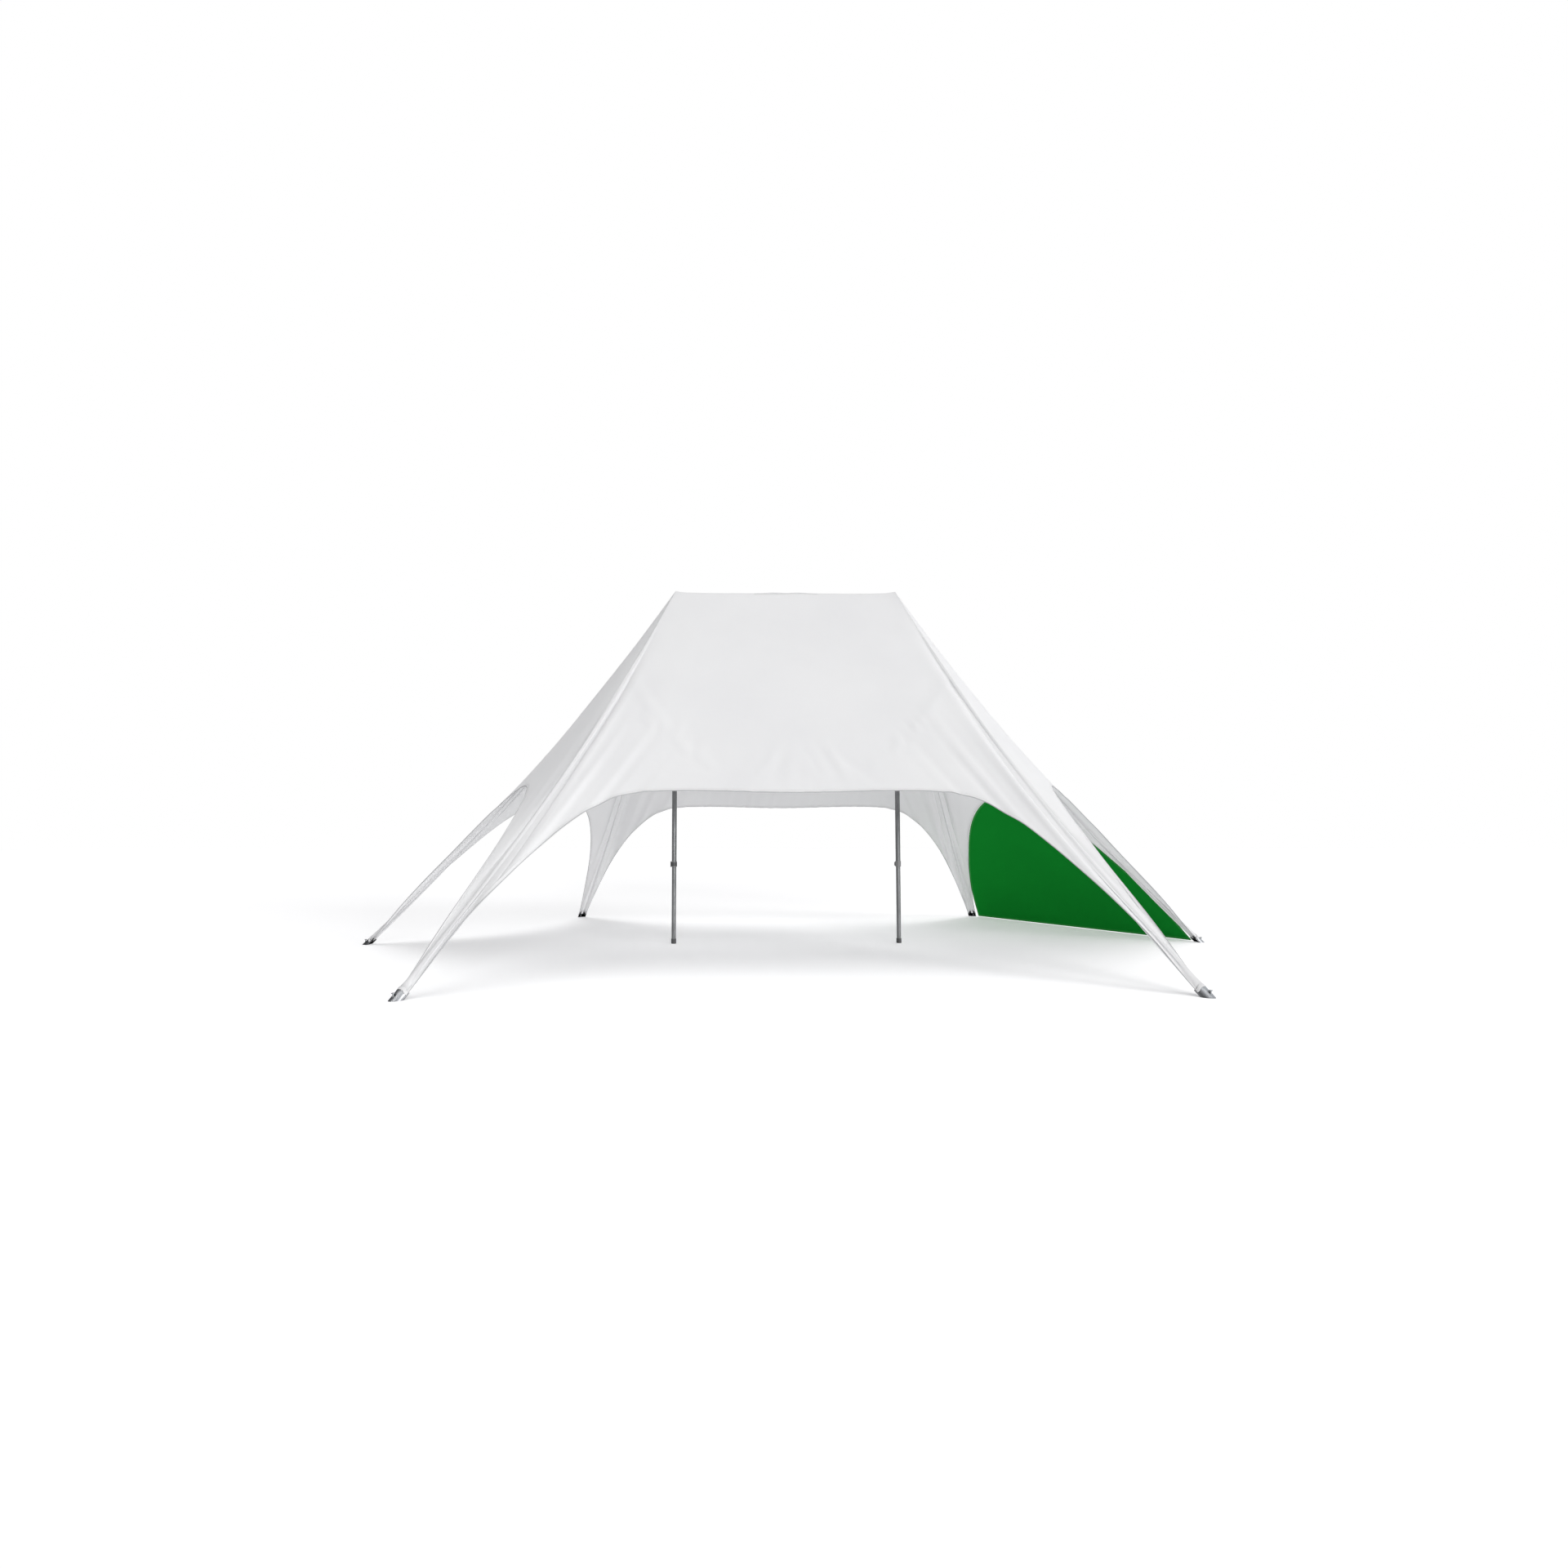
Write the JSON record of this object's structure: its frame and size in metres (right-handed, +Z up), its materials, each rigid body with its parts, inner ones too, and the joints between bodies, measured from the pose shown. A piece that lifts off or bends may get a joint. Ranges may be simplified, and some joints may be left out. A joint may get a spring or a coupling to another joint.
{
  "type": "star tent",
  "caption": "Open-sided event tent: cloth drawn from a ridge between centre poles down to tapering legs pinned to the ground, with a fabric side wall.",
  "frame": {"origin": "on the ground, midway between the two centre poles", "axes": "+X along the ridge to the right, -Y out of the front, +Z up"},
  "size_m": [12.6998, 8.0682, 5.88],
  "materials": {
    "canopy_cloth": "off-white coated polyester cloth, matt with a faint sheen",
    "wall_cloth": "dark green coated polyester cloth, matt",
    "rope": "braided polyester rope",
    "zip": "coarse moulded zip",
    "webbing": "woven polyester webbing",
    "foot_steel": "brushed steel shell with dark edges",
    "plate_steel": "black painted steel",
    "peg_steel": "galvanised steel",
    "pole_aluminium": "grey anodised aluminium tube",
    "clamp_plastic": "dark glass-filled nylon",
    "ferrule_rubber": "dark moulded rubber",
    "head_plastic": "turned nylon",
    "cap_cloth": "stiff coated cloth patch"
  },
  "bodies": {
    "tent": {"back_left_belt": "webbing", "back_left_foot_plate": "plate_steel", "back_left_foot_shell": "foot_steel", "back_panel": "canopy_cloth", "back_right_belt": "webbing", "back_right_foot_plate": "plate_steel", "back_right_foot_shell": "foot_steel", "foot_bars": "plate_steel", "front_left_belt": "webbing", "front_left_foot_plate": "plate_steel", "front_left_foot_shell": "foot_steel", "front_panel": "canopy_cloth", "front_right_belt": "webbing", "front_right_foot_plate": "plate_steel", "front_right_foot_shell": "foot_steel", "hem_ropes": "rope", "left_back_panel": "canopy_cloth", "left_collar": "clamp_plastic", "left_front_panel": "canopy_cloth", "left_lever_pin": "plate_steel", "left_middle_tube": "pole_aluminium", "left_peak_cap": "cap_cloth", "left_pole_head": "head_plastic", "left_spigot": "pole_aluminium", "left_upper_tube": "pole_aluminium", "mid_left_belt": "webbing", "mid_left_foot_plate": "plate_steel", "mid_left_foot_shell": "foot_steel", "mid_right_belt": "webbing", "mid_right_foot_plate": "plate_steel", "mid_right_foot_shell": "foot_steel", "ridge_belt": "webbing", "right_back_panel": "canopy_cloth", "right_collar": "clamp_plastic", "right_front_panel": "canopy_cloth", "right_lever_pin": "plate_steel", "right_middle_tube": "pole_aluminium", "right_peak_cap": "cap_cloth", "right_pole_head": "head_plastic", "right_spigot": "pole_aluminium", "right_upper_tube": "pole_aluminium"},
    "left_lower_pole": {"left_lower_tube": "pole_aluminium", "left_ferrule": "ferrule_rubber"},
    "left_lever_arm": {"left_lever": "clamp_plastic"},
    "right_lower_pole": {"right_lower_tube": "pole_aluminium", "right_ferrule": "ferrule_rubber"},
    "right_lever_arm": {"right_lever": "clamp_plastic"},
    "front_left_ground_peg": {"front_left_peg": "peg_steel"},
    "mid_left_ground_peg": {"mid_left_peg": "peg_steel"},
    "back_left_ground_peg": {"back_left_peg": "peg_steel"},
    "front_right_ground_peg": {"front_right_peg": "peg_steel"},
    "mid_right_ground_peg": {"mid_right_peg": "peg_steel"},
    "back_right_ground_peg": {"back_right_peg": "peg_steel"},
    "wall": {"side_wall": "wall_cloth", "side_wall_rope": "rope", "side_wall_zip": "zip"}
  },
  "joints": [
    {"name": "left_pole_telescope", "type": "slide", "parent": "tent", "child": "left_lower_pole", "axis": [0, 0, 1], "range_m": [0, 0.9]},
    {"name": "left_lever_swing", "type": "hinge", "parent": "tent", "child": "left_lever_arm", "pos_m": [-1.74423, -0.03097, 1.191], "axis": [0, 0, -1], "range_deg": [0, 115]},
    {"name": "right_pole_telescope", "type": "slide", "parent": "tent", "child": "right_lower_pole", "axis": [0, 0, 1], "range_m": [0, 0.9]},
    {"name": "right_lever_swing", "type": "hinge", "parent": "tent", "child": "right_lever_arm", "pos_m": [1.727, 0.04677, 1.191], "axis": [0, 0, -1], "range_deg": [0, 115]},
    {"name": "front_left_peg_pull", "type": "slide", "parent": "tent", "child": "front_left_ground_peg", "axis": [0, 0, 1], "range_m": [0, 0.6]},
    {"name": "mid_left_peg_pull", "type": "slide", "parent": "tent", "child": "mid_left_ground_peg", "axis": [0, 0, 1], "range_m": [0, 0.6]},
    {"name": "back_left_peg_pull", "type": "slide", "parent": "tent", "child": "back_left_ground_peg", "axis": [0, 0, 1], "range_m": [0, 0.6]},
    {"name": "front_right_peg_pull", "type": "slide", "parent": "tent", "child": "front_right_ground_peg", "axis": [0, 0, 1], "range_m": [0, 0.6]},
    {"name": "mid_right_peg_pull", "type": "slide", "parent": "tent", "child": "mid_right_ground_peg", "axis": [0, 0, 1], "range_m": [0, 0.6]},
    {"name": "back_right_peg_pull", "type": "slide", "parent": "tent", "child": "back_right_ground_peg", "axis": [0, 0, 1], "range_m": [0, 0.6]},
    {"name": "wall_fold_down", "type": "hinge", "parent": "tent", "child": "wall", "pos_m": [5.15759, 1.99624, 0.01865], "axis": [-0.5, 0.866, 0], "range_deg": [0, 127]}
  ]
}
